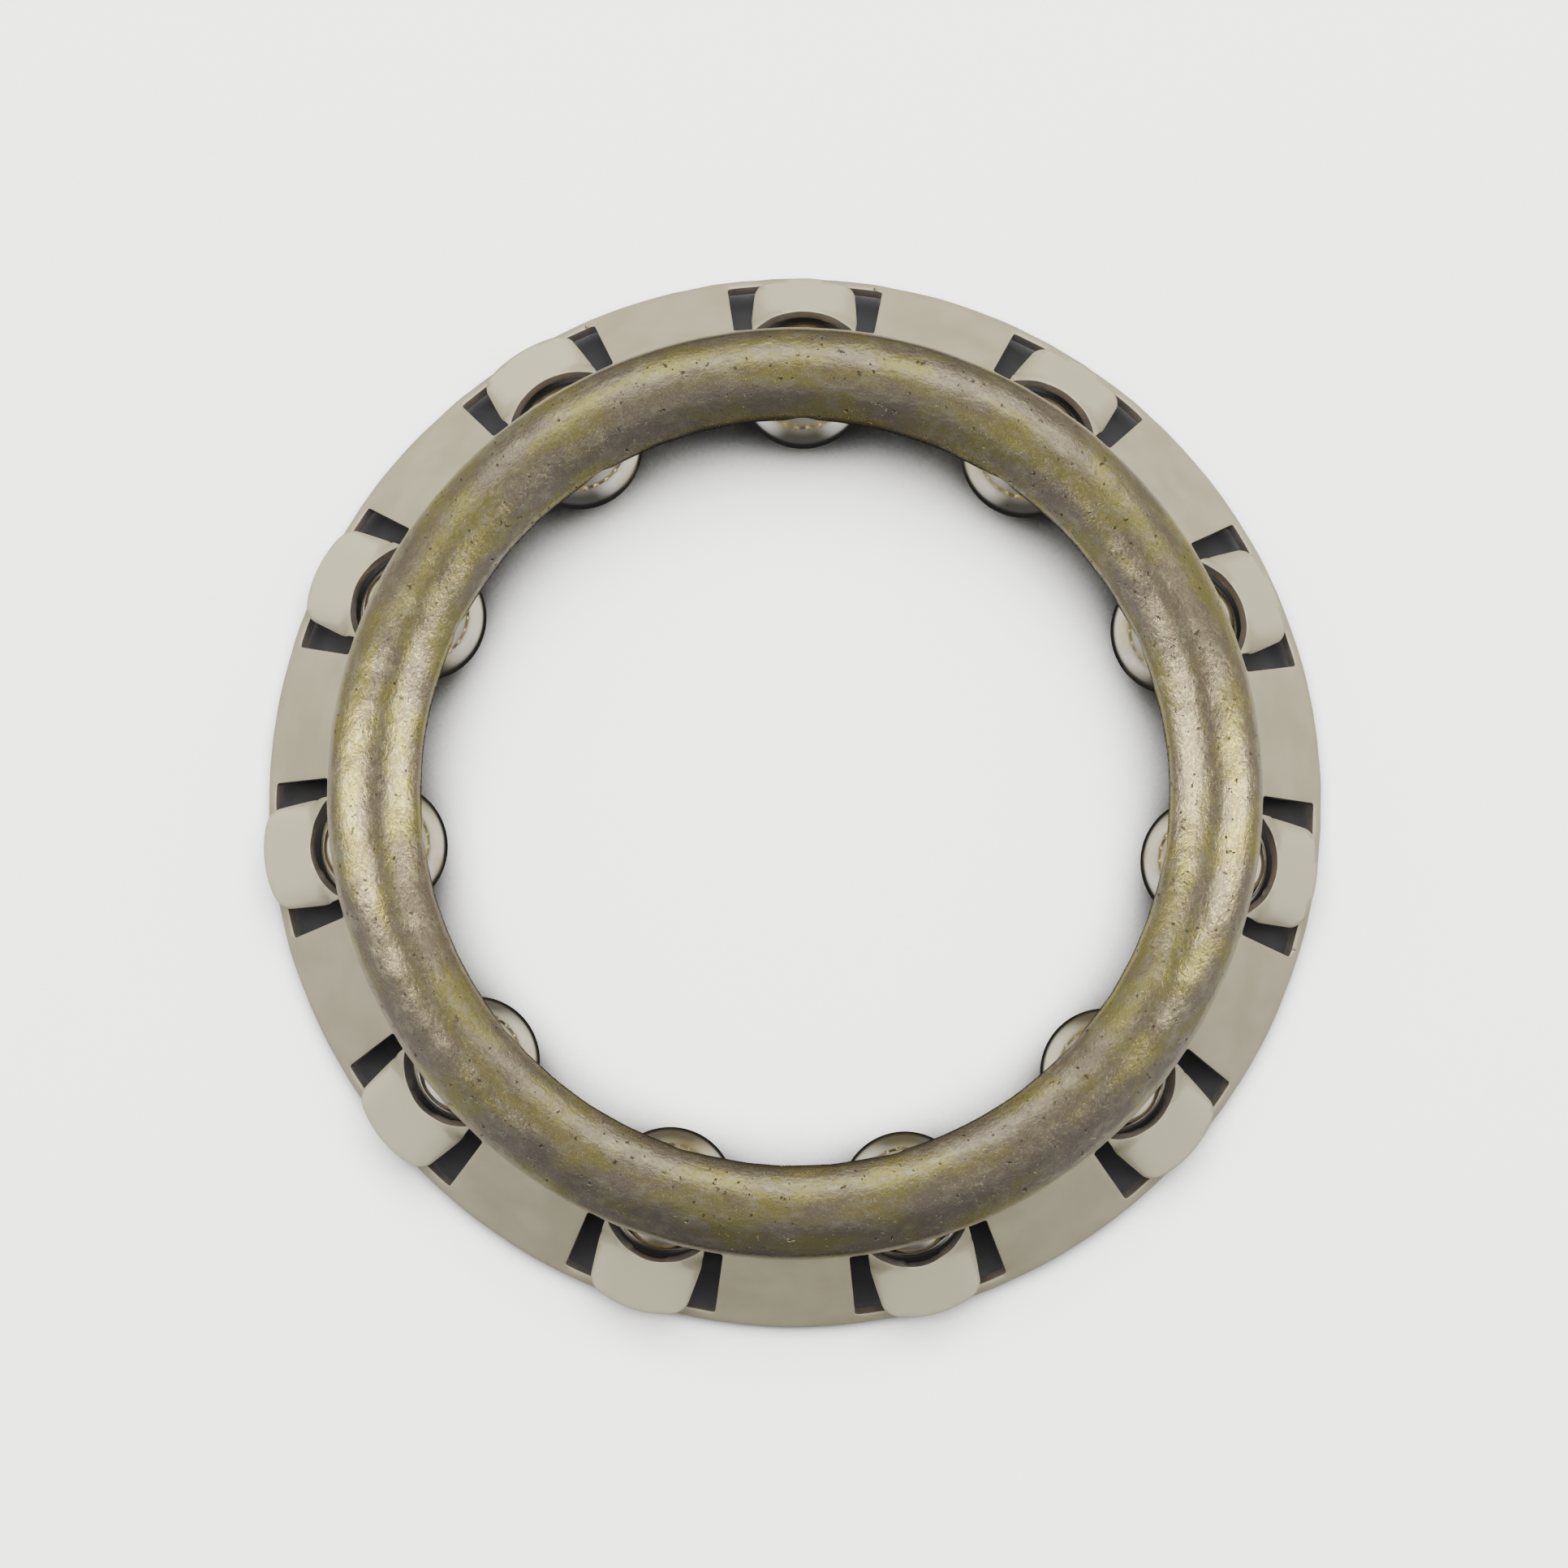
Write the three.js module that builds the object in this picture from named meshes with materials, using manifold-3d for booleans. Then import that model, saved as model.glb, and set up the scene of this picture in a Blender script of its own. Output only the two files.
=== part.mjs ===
// Caged ball set of an angular-contact thrust bearing: one pressed-steel retainer and eleven balls.
// Millimetres, +Z up. The origin is on the axis, in the plane that the undersides of the balls touch.

import * as THREE from "three";
import { mergeVertices } from "three/addons/utils/BufferGeometryUtils.js";
import Module from "manifold-3d";

const wasm = await Module();
wasm.setup();

// ---- driving dimensions ----

const ballCount = 11;
const ballRadius = 6.35 / 2;
const pitchRadius = 20.6;
const pocketClearance = 0.12;

const sheet = 0.4;
const beadInnerRadius = 18.45;
const beadOuterRadius = 23.05;
const crownRadius = 3.0;
const shoulderRadius = 0.8;
const crownClearance = 0.43;

const tongueTuck = 22;
const tongueFoot = -1.6;

const flankSlope = 76;
const skirtFilletRadius = 0.5;
const skirtSlope = 55;
const rimRadius = 26.35;

const slotInnerRadius = 23.12;
const slotOuterRadius = 25.92;
const slotHalfAngle = 8.65;
const mouthTop = 2.68;
const mouthBottom = 1.15;
const mouthHalfWidth = 2.4;

const tabHingeRadius = 24.05;
const tabSlope = 42;
const tabLength = 3.2;
const tabRootHalfWidth = 2.65;
const tabTipHalfWidth = 2.45;
const tabArchRadius = 4.5;
const tabCornerRadius = 0.8;

const ringSteps = ballCount * 5;
const rad = THREE.MathUtils.degToRad;

const steel = {
  retainer: new THREE.MeshStandardMaterial({ color: 0xb4ae98, roughness: 0.42, metalness: 0.9 }),
  ball: new THREE.MeshStandardMaterial({ color: 0xc9c8c2, roughness: 0.12, metalness: 1.0 }),
};

// ---- closed meshes to solids and back ----

function solidOf(geometry) {
  const bare = geometry.clone();
  bare.deleteAttribute("normal");
  bare.deleteAttribute("uv");
  const merged = mergeVertices(bare, 1e-5);
  return new wasm.Manifold(new wasm.Mesh({
    numProp: 3,
    vertProperties: new Float32Array(merged.attributes.position.array),
    triVerts: new Uint32Array(merged.index.array),
  }));
}

function geometryOf(solid) {
  const mesh = solid.getMesh();
  const geometry = new THREE.BufferGeometry();
  geometry.setAttribute("position", new THREE.BufferAttribute(mesh.vertProperties, 3));
  geometry.setIndex(new THREE.BufferAttribute(mesh.triVerts, 1));
  return geometry;
}

// ---- the section of the retainer, in a plane through the axis: x is the radius, y the height ----
// Heights here are measured from the plane of the ball centres. The sheet's middle line is walked
// from the crest, first inwards and down, then outwards and down.

class Walk {
  constructor(x, y, heading) {
    this.at = new THREE.Vector2(x, y);
    this.heading = heading;
    this.steps = [{ at: this.at.clone(), heading }];
  }

  go(length) {
    this.at.x += length * Math.cos(rad(this.heading));
    this.at.y += length * Math.sin(rad(this.heading));
    this.steps.push({ at: this.at.clone(), heading: this.heading });
    return this;
  }

  turn(radius, degrees, pieces) {
    const step = degrees / pieces;
    const chord = 2 * radius * Math.sin(rad(Math.abs(step) / 2));
    for (let i = 0; i < pieces; i += 1) {
      this.heading += step / 2;
      this.at.x += chord * Math.cos(rad(this.heading));
      this.at.y += chord * Math.sin(rad(this.heading));
      this.heading += step / 2;
      this.steps.push({ at: this.at.clone(), heading: this.heading });
    }
    return this;
  }

  side(distance) {
    return this.steps.map(({ at, heading }) => new THREE.Vector2(
      at.x - distance * Math.sin(rad(heading)),
      at.y + distance * Math.cos(rad(heading)),
    ));
  }
}

function retainerSection() {
  const half = sheet / 2;
  const crestX = (beadInnerRadius + beadOuterRadius) / 2;
  const crestY = ballRadius + crownClearance + sheet - half;
  const halfWidth = (beadOuterRadius - beadInnerRadius) / 2 - half;
  const crown = crownRadius - half;
  const shoulder = shoulderRadius - half;
  const crownAngle = THREE.MathUtils.radToDeg(Math.asin((halfWidth - shoulder) / (crown - shoulder)));

  const inner = new Walk(crestX, crestY, 180)
    .turn(crown, crownAngle, 3)
    .turn(shoulder, 90 + tongueTuck - crownAngle, 3);
  inner.go((inner.at.y - tongueFoot) / Math.cos(rad(tongueTuck)));

  const outer = new Walk(crestX, crestY, 0)
    .turn(crown, -crownAngle, 3)
    .turn(shoulder, crownAngle - flankSlope, 2)
    .turn(skirtFilletRadius + half, flankSlope - skirtSlope, 1);
  const rimX = rimRadius - half * Math.sin(rad(skirtSlope));
  outer.go((rimX - outer.at.x) / Math.cos(rad(skirtSlope)));

  const top = [...inner.side(-half).reverse(), ...outer.side(half).slice(1)];
  const under = [...outer.side(-half).reverse(), ...inner.side(half).slice(1)];
  top[0].y = tongueFoot;
  under.at(-1).y = tongueFoot;
  return [...top, ...under, top[0].clone()].reverse();
}

// The height of the skirt's upper face at one radius.
function skirtHeight(radius) {
  const section = retainerSection();
  const rim = section.reduce((far, point) => (point.x > far.x ? point : far));
  return rim.y + (rim.x - radius) * Math.tan(rad(skirtSlope));
}

// ---- cutters and tabs, all made at the pocket on +X and turned to their places ----

function polarPoint(radius, degrees) {
  return new THREE.Vector2(radius * Math.cos(rad(degrees)), radius * Math.sin(rad(degrees)));
}

// A U-shaped cut: down both sides of the tab and across its tip, clear of the tab's root.
function slotCutter() {
  const root = THREE.MathUtils.radToDeg(Math.asin(tabRootHalfWidth / tabHingeRadius));
  const shape = new THREE.Shape();
  shape.moveTo(...polarPoint(slotInnerRadius, -slotHalfAngle));
  shape.lineTo(...polarPoint(slotOuterRadius, -slotHalfAngle));
  shape.absarc(0, 0, slotOuterRadius, rad(-slotHalfAngle), rad(slotHalfAngle), false);
  shape.lineTo(...polarPoint(slotInnerRadius, slotHalfAngle));
  shape.lineTo(...polarPoint(slotInnerRadius, root));
  shape.lineTo(...polarPoint(tabHingeRadius, root));
  shape.absarc(0, 0, tabHingeRadius, rad(root), rad(-root), true);
  shape.lineTo(...polarPoint(slotInnerRadius, -root));
  shape.closePath();
  const cutter = new THREE.ExtrudeGeometry(shape, { depth: 6, bevelEnabled: false, curveSegments: 3 });
  return solidOf(cutter.translate(0, 0, -3.1));
}

// The round bite in the skirt that the ball looks out of, cut from the outside inwards.
function mouthCutter() {
  const rise = mouthTop - mouthBottom;
  const radius = (mouthHalfWidth ** 2 + rise ** 2) / (2 * rise);
  const spread = Math.asin(mouthHalfWidth / radius);
  const shape = new THREE.Shape();
  shape.absarc(0, mouthBottom + radius, radius, -Math.PI / 2 - spread, -Math.PI / 2 + spread, false);
  shape.closePath();
  const cutter = new THREE.ExtrudeGeometry(shape, { depth: 3, bevelEnabled: false, curveSegments: 14 });
  return solidOf(cutter.rotateX(Math.PI / 2).rotateZ(Math.PI / 2).translate(22.2, 0, 0));
}

// A tongue with an arched end, lying in its own plane: x runs outwards from its hinge.
function tabOutline() {
  const rootInset = 0.15;
  const archCentre = tabLength - tabArchRadius;
  const spread = Math.asin((tabTipHalfWidth - tabCornerRadius) / (tabArchRadius - tabCornerRadius));
  const cornerX = archCentre + (tabArchRadius - tabCornerRadius) * Math.cos(spread);
  const cornerY = tabTipHalfWidth - tabCornerRadius;
  const shape = new THREE.Shape();
  shape.moveTo(-rootInset, -tabRootHalfWidth);
  shape.lineTo(0, -tabRootHalfWidth);
  shape.absarc(cornerX, -cornerY, tabCornerRadius, -Math.PI / 2, -spread, false);
  shape.absarc(archCentre, 0, tabArchRadius, -spread, spread, false);
  shape.absarc(cornerX, cornerY, tabCornerRadius, spread, Math.PI / 2, false);
  shape.lineTo(0, tabRootHalfWidth);
  shape.lineTo(-rootInset, tabRootHalfWidth);
  shape.closePath();
  return shape;
}

function tab() {
  const plate = new THREE.ExtrudeGeometry(tabOutline(), {
    depth: sheet, bevelEnabled: false, curveSegments: 3,
  });
  plate.translate(0, 0, -sheet).rotateY(rad(tabSlope));
  return solidOf(plate.translate(tabHingeRadius, 0, skirtHeight(tabHingeRadius)));
}

function ballPocket() {
  const pocket = new THREE.SphereGeometry(ballRadius + pocketClearance, 24, 16);
  return solidOf(pocket.translate(pitchRadius, 0, 0));
}

function pocketAngle(index) {
  return 90 - (360 / ballCount) * index;
}

function aroundTheRing(solid) {
  const copies = Array.from({ length: ballCount }, (_, i) => solid.rotate([0, 0, pocketAngle(i)]));
  return wasm.Manifold.union(copies);
}

// ---- the pieces ----

function retainer() {
  const ring = new THREE.LatheGeometry(retainerSection(), ringSteps, rad(90)).rotateX(Math.PI / 2);
  const pressed = solidOf(ring)
    .subtract(aroundTheRing(slotCutter()))
    .add(aroundTheRing(tab()))
    .subtract(aroundTheRing(mouthCutter()))
    .subtract(aroundTheRing(ballPocket()));
  const mesh = new THREE.Mesh(geometryOf(pressed), steel.retainer);
  mesh.name = "retainer";
  mesh.position.z = ballRadius;
  return mesh;
}

function ball(index) {
  const sphere = new THREE.SphereGeometry(ballRadius, 16, 10).rotateX(Math.PI / 2);
  const mesh = new THREE.Mesh(sphere, steel.ball);
  mesh.name = `ball_${String(index + 1).padStart(2, "0")}`;
  const angle = rad(pocketAngle(index));
  mesh.position.set(pitchRadius * Math.cos(angle), pitchRadius * Math.sin(angle), ballRadius);
  mesh.rotation.z = angle;
  return mesh;
}

const ballSet = new THREE.Group();
ballSet.add(retainer());
for (let i = 0; i < ballCount; i += 1) {
  ballSet.add(ball(i));
}

export default ballSet;
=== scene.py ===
"""Caged ball set of a thrust bearing: a pressed-steel retainer and eleven polished balls.

Lengths in this file are in millimetres until a mesh is made; MM turns them into metres.
Heights in the retainer's section are measured from the plane of the ball centres.
"""
import math

import bmesh
import bpy
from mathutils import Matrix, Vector
from mathutils.geometry import delaunay_2d_cdt


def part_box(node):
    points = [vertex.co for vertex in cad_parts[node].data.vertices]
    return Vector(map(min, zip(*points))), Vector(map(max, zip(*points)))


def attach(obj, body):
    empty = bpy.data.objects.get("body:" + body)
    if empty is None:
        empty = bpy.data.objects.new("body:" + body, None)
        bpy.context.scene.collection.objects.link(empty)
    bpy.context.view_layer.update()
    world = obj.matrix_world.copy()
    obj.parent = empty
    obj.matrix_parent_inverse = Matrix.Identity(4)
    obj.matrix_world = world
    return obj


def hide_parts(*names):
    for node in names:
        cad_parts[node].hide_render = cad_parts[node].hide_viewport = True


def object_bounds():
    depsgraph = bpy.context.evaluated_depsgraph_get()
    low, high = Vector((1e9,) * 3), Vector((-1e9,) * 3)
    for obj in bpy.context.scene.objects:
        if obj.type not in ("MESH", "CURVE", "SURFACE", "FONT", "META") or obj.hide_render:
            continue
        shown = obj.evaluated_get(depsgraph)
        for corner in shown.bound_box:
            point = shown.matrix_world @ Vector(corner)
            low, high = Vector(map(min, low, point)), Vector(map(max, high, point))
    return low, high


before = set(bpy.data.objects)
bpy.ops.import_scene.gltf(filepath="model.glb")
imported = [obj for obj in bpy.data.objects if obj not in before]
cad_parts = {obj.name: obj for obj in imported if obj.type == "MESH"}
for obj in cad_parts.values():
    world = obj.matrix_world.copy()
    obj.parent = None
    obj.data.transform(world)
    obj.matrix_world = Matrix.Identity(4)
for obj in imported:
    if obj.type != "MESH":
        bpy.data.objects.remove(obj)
cad_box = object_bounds()

MM = 0.001

# ---- sizes read from the frame ----

balls = sorted(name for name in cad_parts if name.startswith("ball_"))
POCKETS = len(balls)
first_low, first_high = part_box(balls[0])
ring_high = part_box("retainer")[1]
BALL_RADIUS = (first_high.z - first_low.z) / 2 / MM
PITCH_RADIUS = (first_high.y + first_low.y) / 2 / MM
RIM_RADIUS = ring_high.x / MM
CREST = ring_high.z / MM - BALL_RADIUS

# ---- sizes of the pressing ----

SHEET = 0.4
EDGE_ROUND = 0.05
BEAD_INNER, BEAD_OUTER = 18.45, 23.05
CROWN, SHOULDER = 3.0, 0.8
TONGUE_TUCK, TONGUE_FOOT = 22.0, -1.6
FLANK_SLOPE, SKIRT_FILLET, SKIRT_SLOPE = 76.0, 0.5, 55.0
POCKET_CLEARANCE = 0.08

SLOT_HALF_ANGLE, SLOT_OUTER_RADIUS = 8.65, 25.92
MOUTH_TOP, MOUTH_BOTTOM, MOUTH_HALF_WIDTH = 2.68, 1.15, 2.4
HINGE_RADIUS, HINGE_BEND = 24.05, 0.7
TAB_SLOPE, TAB_LENGTH = 41.0, 3.2
TAB_ROOT_HALF, TAB_TIP_HALF = 2.68, 2.55
TAB_ARCH, TAB_CORNER = 4.5, 0.8
TAB_ROLL, TAB_ROLL_START = 0.55, 0.5
TAB_LEAN, LEAN_TOWARDS = math.radians(7.5), math.radians(235.0)
LEAN_BEND = 0.5
DENT_DEPTH, DENT_SPACING = 0.10, 1.5

GRID = 0.34
WELD_DISTANCE = 0.002
HALF_POCKET = 180.0 / POCKETS


class Section:
    """A walk along the outer face of the sheet, in the plane of radius and height."""

    def __init__(self, radius, height, heading):
        self.points = [(radius, height)]
        self.headings = [heading]
        self.runs = [0.0]

    def _step(self, length, turn):
        heading = self.headings[-1] + turn / 2
        radius, height = self.points[-1]
        self.points.append((radius + length * math.cos(math.radians(heading)),
                            height + length * math.sin(math.radians(heading))))
        self.headings.append(self.headings[-1] + turn)
        self.runs.append(self.runs[-1] + length)

    def go(self, length, step=GRID):
        count = max(1, round(length / step))
        for _ in range(count):
            self._step(length / count, 0.0)
        return self

    def turn(self, radius, degrees, step=8.0):
        count = max(1, round(abs(degrees) / step))
        chord = 2 * radius * math.sin(math.radians(abs(degrees) / count / 2))
        for _ in range(count):
            self._step(chord, degrees / count)
        return self

    def at(self, run):
        """The point, heading and place on the walk, at a distance along it."""
        last = len(self.runs) - 1
        i = next((k for k in range(1, last) if self.runs[k] >= run), last)
        part = (run - self.runs[i - 1]) / (self.runs[i] - self.runs[i - 1])
        (r0, z0), (r1, z1) = self.points[i - 1], self.points[i]
        heading = self.headings[i - 1] + part * (self.headings[i] - self.headings[i - 1])
        return r0 + part * (r1 - r0), z0 + part * (z1 - z0), heading

    def under(self, run):
        """The point on the sheet's other face."""
        radius, height, heading = self.at(run)
        return (radius + SHEET * math.sin(math.radians(heading)),
                height - SHEET * math.cos(math.radians(heading)))


def bead_and_lip():
    """The outer face from the tongue's foot, over the crest, to the lip where the slots begin."""
    half_width = (BEAD_OUTER - BEAD_INNER) / 2
    crown_angle = math.degrees(math.asin((half_width - SHOULDER) / (CROWN - SHOULDER)))
    leaning, tuck = math.radians(crown_angle), math.radians(TONGUE_TUCK)
    widest = CREST - CROWN * (1 - math.cos(leaning)) - SHOULDER * math.cos(leaning)
    tongue_top = widest - SHOULDER * math.sin(tuck)
    tongue_drop = tongue_top - TONGUE_FOOT
    foot_radius = BEAD_INNER + SHOULDER * (1 - math.cos(tuck)) + tongue_drop * math.tan(tuck)
    walk = Section(foot_radius, TONGUE_FOOT, 90 + TONGUE_TUCK)
    walk.go(tongue_drop / math.cos(tuck))
    walk.turn(SHOULDER, crown_angle - 90 - TONGUE_TUCK).turn(CROWN, -2 * crown_angle, step=4.0)
    walk.turn(SHOULDER, crown_angle - FLANK_SLOPE)
    return walk.turn(SKIRT_FILLET, FLANK_SLOPE - SKIRT_SLOPE, step=7.0)


def with_skirt(walk):
    return walk.go((RIM_RADIUS - walk.points[-1][0]) / math.cos(math.radians(SKIRT_SLOPE)))


def with_tab(walk):
    """The skirt as far as the hinge, and then the tab, bent out flatter."""
    walk.go((HINGE_RADIUS - walk.points[-1][0]) / math.cos(math.radians(SKIRT_SLOPE)))
    hinge_run = walk.runs[-1]
    walk.turn(HINGE_BEND, SKIRT_SLOPE - TAB_SLOPE, step=5.0)
    return walk.go(TAB_LENGTH - (walk.runs[-1] - hinge_run))


skirt_section = with_skirt(bead_and_lip())
tab_section = with_tab(bead_and_lip())
LIP_RUN = bead_and_lip().runs[-1]
HINGE_RUN = tab_section.runs[-1] - TAB_LENGTH
HINGE_HEIGHT = tab_section.at(HINGE_RUN)[1]
CREST_RUN = max(zip(skirt_section.points, skirt_section.runs), key=lambda place: place[0][1])[1]


# ---- the flat blank of one pocket: x is the angle, scaled to millimetres, y the run ----

FLAT_SCALE = math.radians(BEAD_OUTER)
HALF_BLANK = HALF_POCKET * FLAT_SCALE
EDGE_STEP = 0.12


def angle_across(radius, centre, reach):
    """Half the angle that a circle about a point on the pocket's line covers at one radius."""
    cosine = (radius ** 2 + centre ** 2 - reach ** 2) / (2 * radius * centre)
    return math.degrees(math.acos(cosine)) if cosine < 1 else 0.0


def ball_half_angle(radius, height):
    reach = (BALL_RADIUS + POCKET_CLEARANCE) ** 2 - height ** 2
    return angle_across(radius, PITCH_RADIUS, math.sqrt(reach)) if reach > 0 else 0.0


def window_half(run):
    """Half the opening that a ball needs through both faces of the sheet, on the flat blank."""
    outer = ball_half_angle(*skirt_section.at(run)[:2])
    return FLAT_SCALE * max(outer, ball_half_angle(*skirt_section.under(run)))


def mouth_half(run):
    """Half the width of the round bite in the skirt, on the flat blank."""
    radius, height, _ = tab_section.at(run)
    rise = MOUTH_TOP - MOUTH_BOTTOM
    bite = (MOUTH_HALF_WIDTH ** 2 + rise ** 2) / (2 * rise)
    square = bite ** 2 - (MOUTH_BOTTOM + bite - height) ** 2
    return FLAT_SCALE * math.degrees(math.asin(math.sqrt(square) / radius)) if square > 0 else 0.0


def right_edge(half, start, end, count=400):
    """Points (x, y) from start until the opening closes."""
    edge = []
    for k in range(count + 1):
        run = start + (end - start) * k / count
        if half(run) <= 0:
            break
        edge.append((half(run), run))
    return edge


def evenly(points, step=EDGE_STEP):
    """The same open outline with its points about one step apart, its ends kept."""
    lengths = [0.0]
    for (x0, y0), (x1, y1) in zip(points, points[1:]):
        lengths.append(lengths[-1] + math.hypot(x1 - x0, y1 - y0))
    count = max(1, round(lengths[-1] / step))
    even, i = [], 1
    for k in range(count + 1):
        want = lengths[-1] * k / count
        while i < len(points) - 1 and lengths[i] < want:
            i += 1
        part = (want - lengths[i - 1]) / (lengths[i] - lengths[i - 1])
        (x0, y0), (x1, y1) = points[i - 1], points[i]
        even.append((x0 + part * (x1 - x0), y0 + part * (y1 - y0)))
    return even


def mirrored(points):
    return [(-x, y) for x, y in points]


def inner_window():
    """The arch for the ball in the inner wall, open at the tongue's foot, from left to right."""
    side = right_edge(window_half, 0.0, CREST_RUN)
    apex = (0.0, side[-1][1])
    right = evenly([*side, apex])
    return [*mirrored(right)[:-1], *reversed(right)]


def mouth():
    """The bite that the ball looks out of, from the lip down into the tab: a closed outline."""
    side = right_edge(mouth_half, LIP_RUN, tab_section.runs[-1])
    right = [*evenly([(0.0, LIP_RUN), side[0]])[:-1], *evenly([*side, (0.0, side[-1][1])])]
    return [*right, *reversed(mirrored(right)[1:-1])]


def run_at_radius(section, radius):
    """How far along the section its outer face reaches a radius, past the lip."""
    legs = zip(section.points, section.points[1:], section.runs, section.runs[1:])
    for (r0, _), (r1, _), run0, run1 in legs:
        if run0 >= LIP_RUN and r0 <= radius <= r1:
            return run0 + (run1 - run0) * (radius - r0) / (r1 - r0)
    return section.runs[-1] + (radius - section.points[-1][0]) / math.cos(math.radians(section.headings[-1]))


def tab_edge():
    """The right side of the tab's outline, from its root to the middle of its arched tip."""
    arch_centre = TAB_LENGTH - TAB_ARCH
    spread = math.asin((TAB_TIP_HALF - TAB_CORNER) / (TAB_ARCH - TAB_CORNER))
    corner_x = arch_centre + (TAB_ARCH - TAB_CORNER) * math.cos(spread)
    corner_y = TAB_TIP_HALF - TAB_CORNER
    plan = [(0.0, TAB_ROOT_HALF)]
    for k in range(9):
        turn = math.pi / 2 + (spread - math.pi / 2) * k / 8
        plan.append((corner_x + TAB_CORNER * math.cos(turn), corner_y + TAB_CORNER * math.sin(turn)))
    for k in range(1, 13):
        turn = spread * (1 - k / 12)
        plan.append((arch_centre + TAB_ARCH * math.cos(turn), TAB_ARCH * math.sin(turn)))
    root_angle = math.degrees(math.atan2(TAB_ROOT_HALF, HINGE_RADIUS))
    edge = [(root_angle * FLAT_SCALE, LIP_RUN)]
    for along, across in plan:
        radial = HINGE_RADIUS + along * math.cos(math.radians(TAB_SLOPE))
        run = run_at_radius(tab_section, math.hypot(radial, across))
        edge.append((math.degrees(math.atan2(across, radial)) * FLAT_SCALE, run))
    return edge


def rounded(corner, before, after, radius=0.16, count=4):
    """Points that round a right-angled corner between two of its neighbours."""
    corner, before, after = Vector(corner), Vector(before), Vector(after)
    start = corner + (before - corner).normalized() * radius
    end = corner + (after - corner).normalized() * radius
    centre = start + end - corner
    points = []
    for k in range(count + 1):
        turn = math.pi / 2 * k / count
        points.append(tuple(centre + (start - centre) * math.cos(turn) + (end - centre) * math.sin(turn)))
    return points


def slot():
    """The U-shaped cut around the tab: a closed outline."""
    side = SLOT_HALF_ANGLE * FLAT_SCALE
    outer_run = run_at_radius(skirt_section, SLOT_OUTER_RADIUS)
    inner_corner, outer_corner = (side, LIP_RUN), (side, outer_run)
    tab = tab_edge()
    outside = evenly([(0.0, outer_run), *rounded(outer_corner, (0.0, outer_run), inner_corner),
                      *rounded(inner_corner, outer_corner, tab[0]), tab[0]])
    right = [*outside[:-1], *evenly(tab)]
    left = [*reversed(mirrored(evenly(tab))), *reversed(mirrored(outside[:-1]))]
    return [*right, *left[1:-1]]


def inside(point, outline):
    x, y = point
    hit = False
    for (x0, y0), (x1, y1) in zip(outline, [*outline[1:], outline[0]]):
        if (y0 > y) != (y1 > y) and x < x0 + (y - y0) / (y1 - y0) * (x1 - x0):
            hit = not hit
    return hit


def near(point, outlines, distance):
    x, y = point
    return any(math.hypot(x - px, y - py) < distance for outline in outlines for px, py in outline)


def blank_outline():
    rows = skirt_section.runs
    columns = blank_columns()
    arch = inner_window()
    foot_right = [x for x in columns if x > arch[-1][0] + 0.3 * GRID]
    foot_left = [-x for x in reversed(foot_right)]
    return [*((x, 0.0) for x in foot_left), *arch, *((x, 0.0) for x in foot_right),
            *((HALF_BLANK, y) for y in rows[1:-1]),
            *((x, rows[-1]) for x in reversed(columns)),
            *((-HALF_BLANK, y) for y in reversed(rows[1:-1]))]


def blank_columns():
    count = 2 * round(HALF_BLANK / GRID)
    return [HALF_BLANK * (2 * k / count - 1) for k in range(count + 1)]


def flat_blank():
    """Points and triangles of one pocket's blank, with its windows and slot cut out."""
    outline = blank_outline()
    cuts = [mouth(), slot()]
    keep_off = [inner_window(), *cuts]
    points = list(outline)
    edges = [(k, (k + 1) % len(outline)) for k in range(len(outline))]
    for cut in cuts:
        first = len(points)
        points += cut
        edges += [(first + k, first + (k + 1) % len(cut)) for k in range(len(cut))]
    for y in skirt_section.runs[1:-1]:
        for x in blank_columns()[1:-1]:
            place = (x, y)
            if inside(place, outline) and not any(inside(place, cut) for cut in cuts):
                if not near(place, keep_off, 0.75 * EDGE_STEP):
                    points.append(place)
    flat, _, faces, _, _, _ = delaunay_2d_cdt([Vector(p) for p in points], edges, [], 0, 1e-5)
    kept = []
    for face in faces:
        middle = sum((flat[i] for i in face), Vector((0.0, 0.0))) / len(face)
        if inside(middle, outline) and not any(inside(middle, cut) for cut in cuts):
            kept.append(face)
    return flat, kept


# ---- the blank pressed into shape ----

TAB_SIDE = math.degrees(math.asin(TAB_ROOT_HALF / HINGE_RADIUS))
TAB_BAND = (TAB_SIDE + SLOT_HALF_ANGLE) / 2
TAB_END = (tab_section.runs[-1] + run_at_radius(skirt_section, SLOT_OUTER_RADIUS)) / 2


def on_tab(angle, run):
    return abs(angle) < TAB_BAND and LIP_RUN < run < TAB_END


def rolled(angle, run):
    """How far the tab's side is rolled down at a place."""
    away = abs(angle) / TAB_SIDE
    side = max(0.0, (away - TAB_ROLL_START) / (1 - TAB_ROLL_START))
    along = min(1.0, max(0.0, (run - LIP_RUN) / (HINGE_RUN - LIP_RUN)))
    return TAB_ROLL * side ** 2.5 * along ** 2


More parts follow.
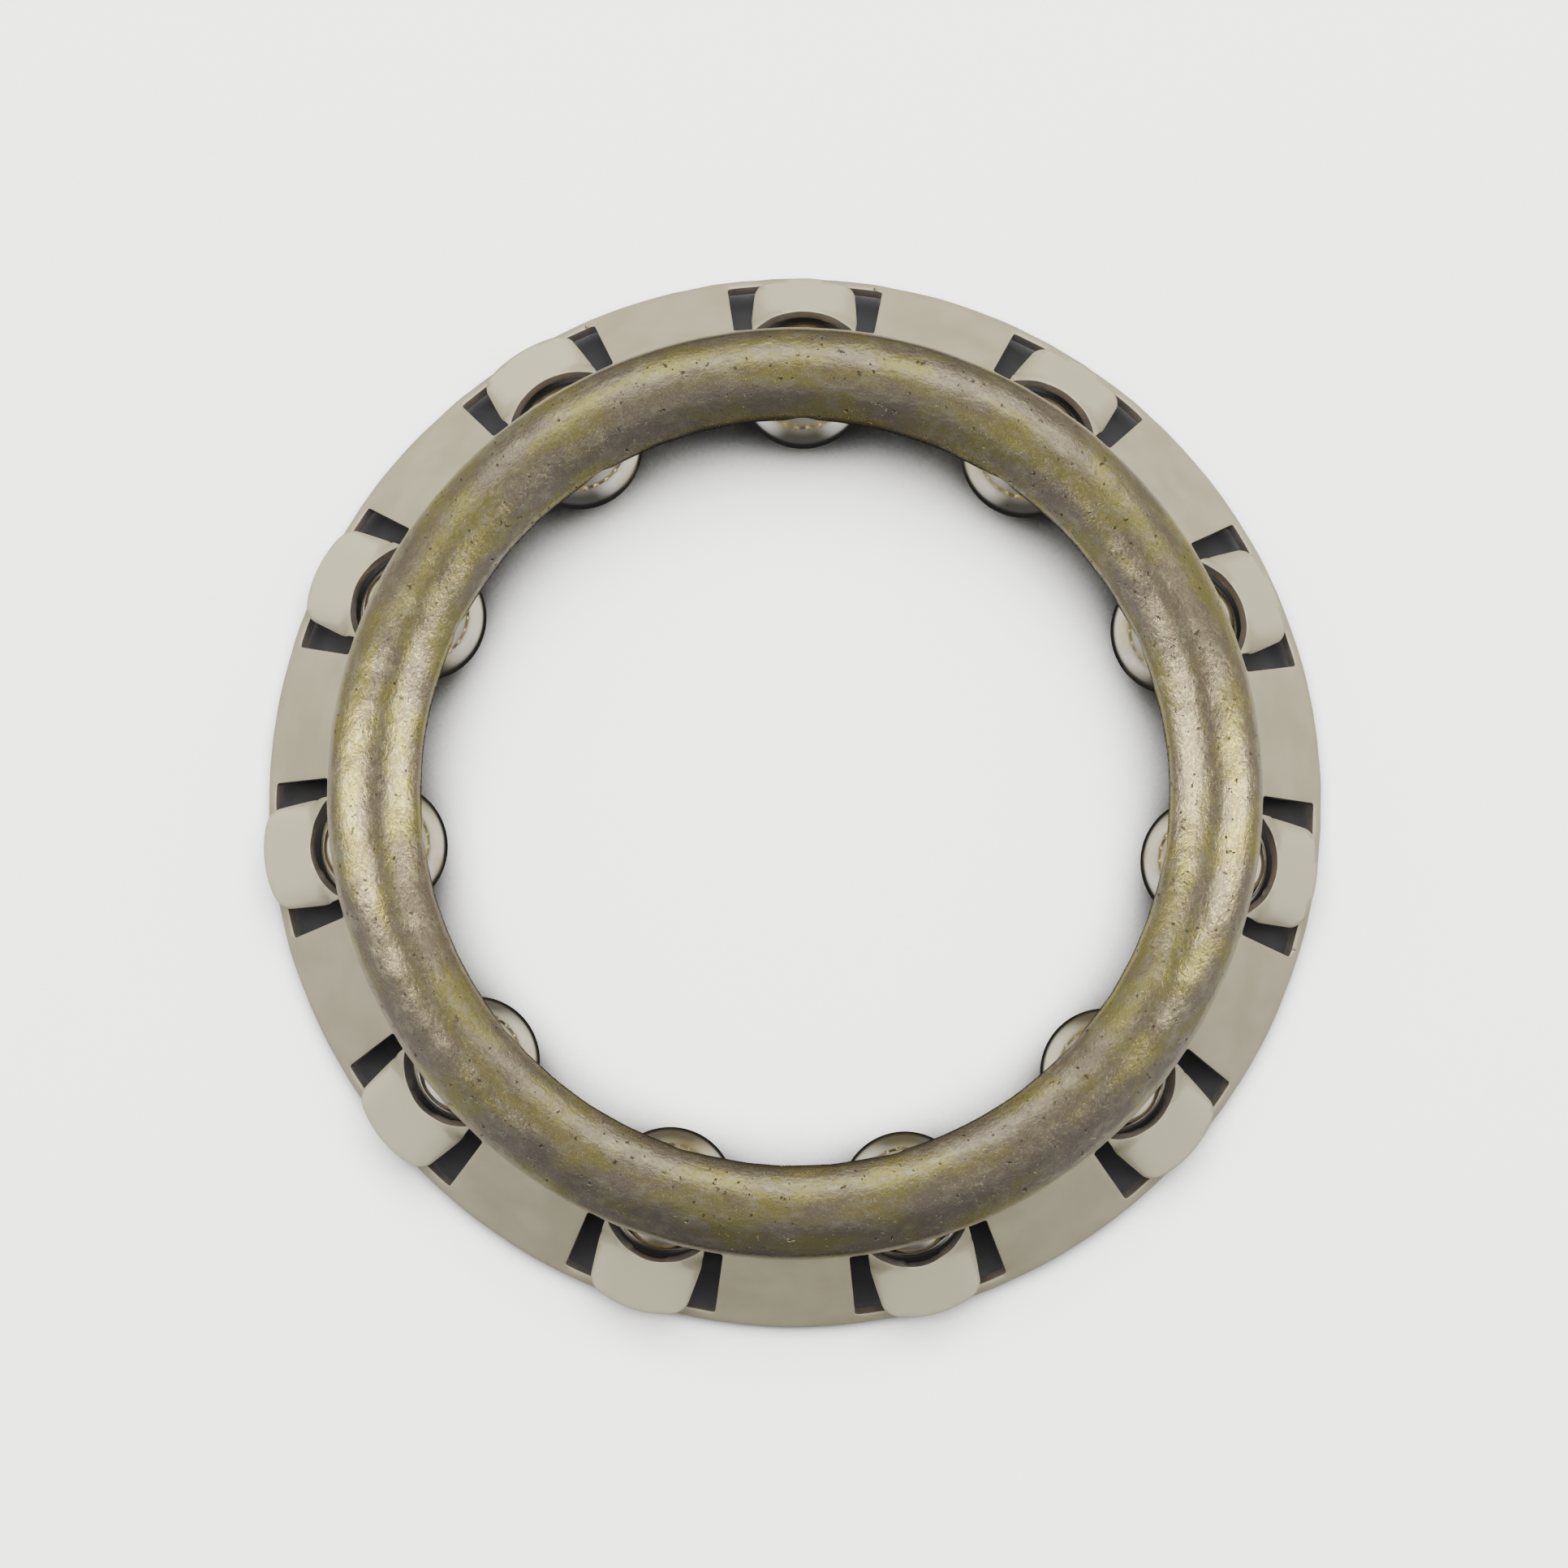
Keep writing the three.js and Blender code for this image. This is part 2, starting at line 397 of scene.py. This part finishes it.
def pressed_pocket():
    """One pocket of the retainer's outer face as a mesh in metres, with the pocket on +Y."""
    flat, faces = flat_blank()
    mesh = bpy.data.meshes.new("pressed_pocket")
    places, holds = [], []
    for x, run in flat:
        angle = x / FLAT_SCALE
        section = tab_section if on_tab(angle, run) else skirt_section
        radius, height, heading = section.at(run)
        if on_tab(angle, run):
            radius += rolled(angle, run) * math.sin(math.radians(heading))
            height -= rolled(angle, run) * math.cos(math.radians(heading))
        turn = math.radians(angle)
        places.append((MM * radius * math.sin(turn), MM * radius * math.cos(turn),
                       MM * (height + BALL_RADIUS)))
        holds.append(max(0.0, run - HINGE_RUN) if on_tab(angle, run) else 0.0)
    mesh.from_pydata(places, [], [tuple(face) for face in faces])
    along = mesh.attributes.new("tab_run", "FLOAT", "POINT")
    along.data.foreach_set("value", holds)
    work = bmesh.new()
    work.from_mesh(mesh)
    bmesh.ops.join_triangles(work, faces=work.faces, angle_face_threshold=0.5, angle_shape_threshold=0.6)
    bmesh.ops.recalc_face_normals(work, faces=work.faces)
    crest = max(work.faces, key=lambda face: face.calc_center_median().z)
    if crest.normal.z < 0:
        bmesh.ops.reverse_faces(work, faces=work.faces)
    work.to_mesh(mesh)
    work.free()
    return mesh


# ---- node-tree helpers ----

def fill(tree, node, inputs):
    """Sets a node's inputs: a socket is linked, anything else becomes the value."""
    for key, value in inputs.items():
        if isinstance(value, bpy.types.NodeSocket):
            tree.links.new(value, node.inputs[key])
        else:
            node.inputs[key].default_value = value
    return node


def add(tree, kind, inputs=None, **settings):
    node = tree.nodes.new(kind)
    for key, value in settings.items():
        setattr(node, key, value)
    return fill(tree, node, inputs or {})


def calc(tree, operation, *values):
    node = add(tree, "ShaderNodeMath", operation=operation)
    return fill(tree, node, dict(enumerate(values))).outputs[0]


# ---- the ring of pockets ----

RING_INPUTS = {
    "Pockets": ("NodeSocketInt", POCKETS),
    "Weld": ("NodeSocketFloat", WELD_DISTANCE * MM),
    "Hinge radius": ("NodeSocketFloat", HINGE_RADIUS * MM),
    "Hinge height": ("NodeSocketFloat", (HINGE_HEIGHT + BALL_RADIUS) * MM),
    "Bend length": ("NodeSocketFloat", LEAN_BEND * MM),
    "Lean": ("NodeSocketFloat", TAB_LEAN),
    "Lean towards": ("NodeSocketFloat", LEAN_TOWARDS),
    "Dent depth": ("NodeSocketFloat", DENT_DEPTH * MM),
    "Dents per metre": ("NodeSocketFloat", 1 / (DENT_SPACING * MM)),
    "Material": ("NodeSocketMaterial", None),
}


def ring_tree():
    """Sets the pressed pocket round the axis, welds the pockets, leans the tabs and dents the rest."""
    tree = bpy.data.node_groups.new("ring of pockets", "GeometryNodeTree")
    tree.interface.new_socket("Geometry", in_out="INPUT", socket_type="NodeSocketGeometry")
    for name, (kind, _) in RING_INPUTS.items():
        tree.interface.new_socket(name, in_out="INPUT", socket_type=kind)
    tree.interface.new_socket("Geometry", in_out="OUTPUT", socket_type="NodeSocketGeometry")
    given = tree.nodes.new("NodeGroupInput").outputs
    result = tree.nodes.new("NodeGroupOutput")

    places = add(tree, "GeometryNodePoints", {"Count": given["Pockets"]})
    step = calc(tree, "DIVIDE", math.tau, given["Pockets"])
    turn = calc(tree, "MULTIPLY", add(tree, "GeometryNodeInputIndex").outputs[0], step)
    rotation = add(tree, "ShaderNodeCombineXYZ", {"Z": turn})
    pockets = add(tree, "GeometryNodeInstanceOnPoints", {
        "Points": places.outputs[0], "Instance": given["Geometry"], "Rotation": rotation.outputs[0]})
    whole = add(tree, "GeometryNodeRealizeInstances", {"Geometry": pockets.outputs[0]})
    welded = add(tree, "GeometryNodeMergeByDistance", {
        "Geometry": whole.outputs[0], "Distance": given["Weld"]})

    here = add(tree, "GeometryNodeInputPosition").outputs[0]
    xyz = add(tree, "ShaderNodeSeparateXYZ", {"Vector": here}).outputs
    from_y = calc(tree, "SUBTRACT", calc(tree, "ARCTAN2", xyz["Y"], xyz["X"]), math.pi / 2)
    pocket = calc(tree, "MULTIPLY", calc(tree, "ROUND", calc(tree, "DIVIDE", from_y, step)), step)
    facing = calc(tree, "ADD", pocket, math.pi / 2)
    cosine, sine = calc(tree, "COSINE", facing), calc(tree, "SINE", facing)
    hinge = add(tree, "ShaderNodeCombineXYZ", {
        "X": calc(tree, "MULTIPLY", cosine, given["Hinge radius"]),
        "Y": calc(tree, "MULTIPLY", sine, given["Hinge radius"]),
        "Z": given["Hinge height"]})
    across = add(tree, "ShaderNodeCombineXYZ", {"X": sine, "Y": calc(tree, "MULTIPLY", cosine, -1.0)})
    run = add(tree, "GeometryNodeInputNamedAttribute", {"Name": "tab_run"}, data_type="FLOAT")
    hold = calc(tree, "MINIMUM", calc(tree, "DIVIDE", run.outputs[0], given["Bend length"]), 1.0)
    away = calc(tree, "COSINE", calc(tree, "SUBTRACT", facing, given["Lean towards"]))
    lean = calc(tree, "MULTIPLY", calc(tree, "MULTIPLY", given["Lean"], away), hold)
    leaned = add(tree, "ShaderNodeVectorRotate", {
        "Vector": here, "Center": hinge.outputs[0], "Axis": across.outputs[0], "Angle": lean},
        rotation_type="AXIS_ANGLE")
    moved = add(tree, "GeometryNodeSetPosition", {
        "Geometry": welded.outputs[0], "Position": leaned.outputs[0]})

    lumps = add(tree, "ShaderNodeTexNoise", {
        "Vector": here, "Scale": given["Dents per metre"], "Detail": 1.0})
    depth = calc(tree, "MULTIPLY", calc(tree, "SUBTRACT", lumps.outputs[0], 0.5), given["Dent depth"])
    off_tab = calc(tree, "COMPARE", run.outputs[0], 0.0, 1e-6)
    outwards = add(tree, "ShaderNodeVectorMath", {
        0: add(tree, "GeometryNodeInputNormal").outputs[0], 3: calc(tree, "MULTIPLY", depth, off_tab)},
        operation="SCALE")
    dented = add(tree, "GeometryNodeSetPosition", {
        "Geometry": moved.outputs[0], "Offset": outwards.outputs[0]})
    dressed = add(tree, "GeometryNodeSetMaterial", {
        "Geometry": dented.outputs[0], "Material": given["Material"]})
    tree.links.new(dressed.outputs[0], result.inputs[0])
    return tree


def linked(name, mesh):
    piece = bpy.data.objects.new(name, mesh)
    bpy.context.scene.collection.objects.link(piece)
    return piece


def settled(piece):
    """The piece with its modifiers made into plain mesh."""
    evaluated = piece.evaluated_get(bpy.context.evaluated_depsgraph_get())
    mesh = bpy.data.meshes.new_from_object(evaluated)
    piece.modifiers.clear()
    piece.data = mesh
    mesh.name = piece.name
    return piece


def make_retainer(outside, shaded_underside):
    ring = linked("pressed_retainer", pressed_pocket())
    build = ring.modifiers.new("ring of pockets", "NODES")
    build.node_group = ring_tree()
    for item in build.node_group.interface.items_tree:
        if item.in_out == "INPUT" and item.name in RING_INPUTS:
            build[item.identifier] = outside if item.name == "Material" else RING_INPUTS[item.name][1]
    settled(ring)
    ring.data.materials.append(shaded_underside)
    wall = ring.modifiers.new("sheet", "SOLIDIFY")
    wall.thickness = SHEET * MM
    wall.offset = -1
    wall.use_even_offset = True
    # The hidden face and the cut edges take the dark painted-shade steel.
    wall.material_offset = 1
    wall.material_offset_rim = 1
    edges = ring.modifiers.new("broken edges", "BEVEL")
    edges.width = EDGE_ROUND * MM
    edges.segments = 2
    edges.limit_method = "ANGLE"
    edges.angle_limit = math.radians(50)
    edges.harden_normals = False
    settled(ring)
    ring.data.shade_smooth()
    return ring


def make_ball(name, material):
    low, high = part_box(name)
    middle = (low + high) / 2
    work = bmesh.new()
    bmesh.ops.create_icosphere(work, subdivisions=5, radius=BALL_RADIUS * MM)
    mesh = bpy.data.meshes.new(name)
    work.to_mesh(mesh)
    work.free()
    for vertex in mesh.vertices:
        vertex.co += middle
    mesh.materials.append(material)
    mesh.shade_smooth()
    return linked(name.replace("ball", "polished_ball"), mesh)


# ---- finishes ----

SHEET_LIGHT, SHEET_DARK = (0.238, 0.215, 0.140, 1), (0.205, 0.182, 0.118, 1)
# Painted light: the paler colour given to faces of the sheet that turn upwards.
UPWARD_FACE_PAINTED_LIGHT = (0.285, 0.268, 0.185, 1)
# Painted shade: the dark colours of the sheet's hidden face and its cut edges.
PAINTED_SHADE_DARK, PAINTED_SHADE_BROWN = (0.085, 0.08, 0.075, 1), (0.14, 0.115, 0.09, 1)
BEAD_BROWN, BEAD_OLIVE = (0.33, 0.275, 0.20, 1), (0.39, 0.345, 0.135, 1)
BEAD_WORN, BEAD_GRIME = (0.44, 0.40, 0.26, 1), (0.19, 0.16, 0.12, 1)
PIT = (0.05, 0.04, 0.03, 1)
BALL_BRIGHT, BALL_FILM, BALL_SPECK = (0.97, 0.91, 0.70, 1), (0.80, 0.68, 0.38, 1), (0.25, 0.22, 0.17, 1)
FLOOR_PALE, FLOOR_SHADED = (0.90, 0.90, 0.89, 1), (0.042, 0.042, 0.044, 1)
BUMP_HEIGHT = 0.042
SHADED_WITHIN = 12


def shader_tree(name):
    material = bpy.data.materials.new(name)
    material.use_nodes = True
    tree = material.node_tree
    tree.nodes.clear()
    surface = add(tree, "ShaderNodeBsdfPrincipled")
    add(tree, "ShaderNodeOutputMaterial", {"Surface": surface.outputs[0]})
    return material, tree, surface


def noise(tree, place, size, detail, roughness, offset):
    return add(tree, "ShaderNodeTexNoise", {
        "Vector": place, "Scale": 1 / (size * MM), "Detail": detail, "Roughness": roughness,
        "W": offset}, noise_dimensions="4D").outputs[0]


def cloud(tree, size, detail=3.0, roughness=0.55, seed=0.0):
    """Noise in the piece's own space, with features about size millimetres across."""
    place = add(tree, "ShaderNodeTexCoord").outputs["Object"]
    return noise(tree, place, size, detail, roughness, seed)


def from_axis(tree):
    """The place's direction from the axis and distance from it, and its height."""
    place = add(tree, "ShaderNodeTexCoord").outputs["Object"]
    x, y, z = add(tree, "ShaderNodeSeparateXYZ", {"Vector": place}).outputs
    flat = add(tree, "ShaderNodeCombineXYZ", {"X": x, "Y": y}).outputs[0]
    facing = add(tree, "ShaderNodeVectorMath", {0: flat}, operation="NORMALIZE").outputs[0]
    radius = add(tree, "ShaderNodeVectorMath", {0: flat}, operation="LENGTH").outputs["Value"]
    return facing, radius, z


def drawn_cloud(tree, size, stretch=2.5, detail=3.0, roughness=0.55, seed=0.0):
    """Noise drawn out along the ring, so that its features are stretch times longer that way."""
    facing, radius, height = from_axis(tree)
    along = add(tree, "ShaderNodeVectorMath", {
        0: facing, 3: PITCH_RADIUS * MM / stretch}, operation="SCALE").outputs[0]
    across = add(tree, "ShaderNodeCombineXYZ", {"Z": radius}).outputs[0]
    place = add(tree, "ShaderNodeVectorMath", {0: along, 1: across}, operation="ADD").outputs[0]
    return noise(tree, place, size, detail, roughness, calc(tree, "ADD", height, seed))


def ramp(tree, value, low, high, out_low=0.0, out_high=1.0):
    return add(tree, "ShaderNodeMapRange", {
        "Value": value, "From Min": low, "From Max": high, "To Min": out_low, "To Max": out_high},
        interpolation_type="SMOOTHSTEP").outputs[0]


def blend_colour(tree, part, first, second):
    mix = add(tree, "ShaderNodeMix", data_type="RGBA")
    fill(tree, mix, {0: part, 6: first, 7: second})
    return mix.outputs[2]


def pressed_steel():
    """Plated sheet: a matt beige skirt, with faces that turn upwards, the tabs above all, painted paler as
    painted light, and a burnished olive bead with fine pits.
    """
    material, tree, surface = shader_tree("pressed_steel")
    radius = from_axis(tree)[1]
    bead = ramp(tree, radius, (BEAD_OUTER + 0.15) * MM, (BEAD_OUTER - 0.25) * MM)

    patches = ramp(tree, drawn_cloud(tree, 1.6, seed=1.0), 0.42, 0.60)
    mottle = drawn_cloud(tree, 0.40, stretch=2.0, detail=5.0, roughness=0.62, seed=2.0)
    grain = drawn_cloud(tree, 0.15, stretch=1.5, detail=3.0, roughness=0.65, seed=3.0)
    pits = ramp(tree, cloud(tree, 0.28, detail=2.0, seed=4.0), 0.65, 0.72)
    shade = cloud(tree, 2.5, seed=6.0)

    sheet_colour = blend_colour(tree, ramp(tree, shade, 0.3, 0.7), SHEET_LIGHT, SHEET_DARK)
    bead_colour = blend_colour(tree, patches, BEAD_BROWN, BEAD_OLIVE)
    bead_colour = blend_colour(tree, ramp(tree, mottle, 0.45, 0.7), bead_colour, BEAD_WORN)
    bead_colour = blend_colour(tree, ramp(tree, grain, 0.52, 0.85), bead_colour, BEAD_GRIME)
    bead_colour = blend_colour(tree, calc(tree, "MULTIPLY", pits, 0.7), bead_colour, PIT)
    normal = add(tree, "ShaderNodeNewGeometry").outputs["Normal"]
    upwards = add(tree, "ShaderNodeSeparateXYZ", {"Vector": normal}).outputs["Z"]
    # Painted light: faces that turn upwards, the tabs above all, are painted paler as if lit from above.
    sheet_colour = blend_colour(tree, ramp(tree, upwards, 0.60, 0.72), sheet_colour, UPWARD_FACE_PAINTED_LIGHT)
    colour = blend_colour(tree, bead, sheet_colour, bead_colour)

    rough_bead = ramp(tree, grain, 0.3, 0.7, 0.20, 0.32)
    rough = calc(tree, "ADD", calc(tree, "MULTIPLY", bead, rough_bead),
                 calc(tree, "MULTIPLY", calc(tree, "SUBTRACT", 1.0, bead), 0.5))
    relief = calc(tree, "SUBTRACT", calc(tree, "ADD", calc(tree, "MULTIPLY", grain, 0.5),
                                         calc(tree, "MULTIPLY", mottle, 0.7)), pits)
    height = calc(tree, "MULTIPLY", relief, ramp(tree, bead, 0.0, 1.0, 0.06, 1.0))
    bump = add(tree, "ShaderNodeBump", {"Strength": 1.0, "Distance": BUMP_HEIGHT * MM, "Height": height})
    metallic = ramp(tree, bead, 0.0, 1.0, 0.25, 1.0)
    fill(tree, surface, {"Base Color": colour, "Metallic": metallic, "Roughness": rough,
                         "Normal": bump.outputs[0]})
    return material


def painted_shade_steel():
    """The sheet's hidden face and its cut edges: the same steel painted dark as painted shade, for the shade
    under the skirt and in the slots, with a random brown tone.
    """
    material, tree, surface = shader_tree("painted_shade_steel")
    blotch_mask = ramp(tree, cloud(tree, 1.6, detail=4.0, seed=5.0), 0.35, 0.65)
    colour = blend_colour(tree, blotch_mask, PAINTED_SHADE_DARK, PAINTED_SHADE_BROWN)
    rough = ramp(tree, blotch_mask, 0.0, 1.0, 0.45, 0.6)
    fill(tree, surface, {"Base Color": colour, "Metallic": 0.8, "Roughness": rough})
    return material


def ball_steel():
    """Polished ball steel with a faint film of handling marks."""
    material, tree, surface = shader_tree("ball_steel")
    blotch_mask = ramp(tree, cloud(tree, 2.2, detail=5.0, seed=7.0), 0.4, 0.7)
    specks = ramp(tree, cloud(tree, 0.3, detail=2.0, seed=8.0), 0.70, 0.76)
    colour = blend_colour(tree, blotch_mask, BALL_BRIGHT, BALL_FILM)
    colour = blend_colour(tree, calc(tree, "MULTIPLY", specks, 0.5), colour, BALL_SPECK)
    rough = ramp(tree, blotch_mask, 0.0, 1.0, 0.10, 0.22)
    fill(tree, surface, {"Base Color": colour, "Metallic": 1.0, "Roughness": rough})
    return material


def floor_paint():
    """Plain pale paint, with painted shade darkening it where ambient occlusion finds something all but
    touching it.
    """
    material, tree, surface = shader_tree("floor_paint")
    open_sky = add(tree, "ShaderNodeAmbientOcclusion", {"Distance": SHADED_WITHIN * MM}, samples=24)
    # Painted shade: the floor turns dark where ambient occlusion is strong, under the skirt and beside the
    # balls.
    colour = blend_colour(tree, ramp(tree, open_sky.outputs["AO"], 0.37, 0.66), FLOOR_SHADED, FLOOR_PALE)
    fill(tree, surface, {"Base Color": colour, "Roughness": 0.8})
    return material


# ---- the studio ----

FLOOR_HALF = 3.0


def make_floor():
    mesh = bpy.data.meshes.new("floor")
    corners = [(x * FLOOR_HALF, y * FLOOR_HALF, 0) for x, y in ((-1, -1), (1, -1), (1, 1), (-1, 1))]
    mesh.from_pydata(corners, [], [(0, 1, 2, 3)])
    mesh.materials.append(floor_paint())
    floor = linked("floor", mesh)
    floor.visible_glossy = False
    return floor


def aimed(thing, target):
    thing.rotation_euler = (Vector(target) - thing.location).to_track_quat("-Z", "Y").to_euler()


def make_light(name, place, width, depth, power, colour=(1.0, 1.0, 1.0)):
    lamp = bpy.data.lights.new(name, "AREA")
    lamp.shape = "RECTANGLE"
    lamp.size, lamp.size_y = width, depth
    lamp.energy = power
    lamp.color = colour
    light = bpy.data.objects.new(name, lamp)
    light.location = place
    bpy.context.scene.collection.objects.link(light)
    aimed(light, (0, 0, 0.003))
    return light


ROOM_SIDES, ROOM_BACK, ROOM_FRONT, ROOM_TOP, ROOM_UNDER = 0.54, 0.44, 0.25, 0.46, 0.02
ROOM_BOUNCE = 0.98
WARM, COOL = (1.0, 0.985, 0.95, 1), (0.94, 0.96, 1.12, 1)
BACKDROP, BACKDROP_STRENGTH = (0.93, 0.93, 0.92, 1), 3.0
SIDE_PANEL_COLOUR = (1.0, 0.95, 0.76)


def room_light():
    """What polished steel reflects: bright to both sides, darker in front, overhead and underneath."""
    world = bpy.data.worlds.new("room")
    world.use_nodes = True
    tree = world.node_tree
    tree.nodes.clear()
    towards = add(tree, "ShaderNodeTexCoord").outputs["Generated"]
    x, y, z = add(tree, "ShaderNodeSeparateXYZ", {"Vector": towards}).outputs
    front_to_back = calc(tree, "MULTIPLY", ramp(tree, y, -0.55, 0.35, ROOM_FRONT, ROOM_BACK),
                         ramp(tree, z, 0.0, -0.5, 1.0, 0.35))
    sides = ramp(tree, calc(tree, "ABSOLUTE", x), 0.25, 0.8)
    low_sides = ramp(tree, z, 0.10, -0.35, ROOM_SIDES, ROOM_BOUNCE)
    around = add(tree, "ShaderNodeMix", {0: sides, 2: front_to_back, 3: low_sides})
    over = add(tree, "ShaderNodeMix", {0: ramp(tree, z, 0.75, 0.95), 2: around.outputs[0], 3: ROOM_TOP})
    whole = add(tree, "ShaderNodeMix", {0: ramp(tree, z, -0.70, -0.88), 2: over.outputs[0], 3: ROOM_UNDER})
    tint = blend_colour(tree, ramp(tree, y, 0.1, -0.4), WARM, COOL)
    lit = add(tree, "ShaderNodeBackground", {"Color": tint, "Strength": whole.outputs[0]})
    seen = add(tree, "ShaderNodeBackground", {"Color": BACKDROP, "Strength": BACKDROP_STRENGTH})
    camera_ray = add(tree, "ShaderNodeLightPath").outputs["Is Camera Ray"]
    both = add(tree, "ShaderNodeMixShader", {0: camera_ray, 1: lit.outputs[0], 2: seen.outputs[0]})
    add(tree, "ShaderNodeOutputWorld", {"Surface": both.outputs[0]})
    bpy.context.scene.world = world


def make_studio():
    make_light("back_panel", (0.0, 0.30, 0.30), 0.50, 0.24, 0.55)
    make_light("left_panel", (-0.31, 0.02, 0.34), 0.05, 0.34, 0.75, SIDE_PANEL_COLOUR)
    make_light("right_panel", (0.31, 0.02, 0.34), 0.05, 0.34, 0.75, SIDE_PANEL_COLOUR)
    fill_panel = make_light("fill_panel", (0.0, 0.22, 0.58), 0.60, 0.60, 17.0)
    fill_panel.visible_glossy = False
    room_light()


VIEW_DISTANCE = 0.30
VIEW_ELEVATION = math.radians(85.0)
VIEW_TURN = math.radians(1.1)
FRAME_WIDTH = 0.0779
SHIFT_X, SHIFT_Y = -0.0074, 0.0062


def make_camera():
    data = bpy.data.cameras.new("camera")
    data.sensor_width = 36.0
    data.lens = data.sensor_width * VIEW_DISTANCE / FRAME_WIDTH
    data.shift_x, data.shift_y = SHIFT_X, SHIFT_Y
    camera = bpy.data.objects.new("camera", data)
    target = (cad_box[0] + cad_box[1]) / 2
    level = math.cos(VIEW_ELEVATION)
    camera.location = target + VIEW_DISTANCE * Vector((
        level * math.sin(VIEW_TURN), -level * math.cos(VIEW_TURN), math.sin(VIEW_ELEVATION)))
    bpy.context.scene.collection.objects.link(camera)
    aimed(camera, target)
    bpy.context.scene.camera = camera


# ---- everything made and attached to its body ----

make_camera()
make_studio()
make_floor()

retainer = make_retainer(pressed_steel(), painted_shade_steel())
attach(retainer, "retainer")
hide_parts("retainer")

polish = ball_steel()
for ball_name in balls:
    ball = make_ball(ball_name, polish)
    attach(ball, ball_name)
    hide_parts(ball_name)
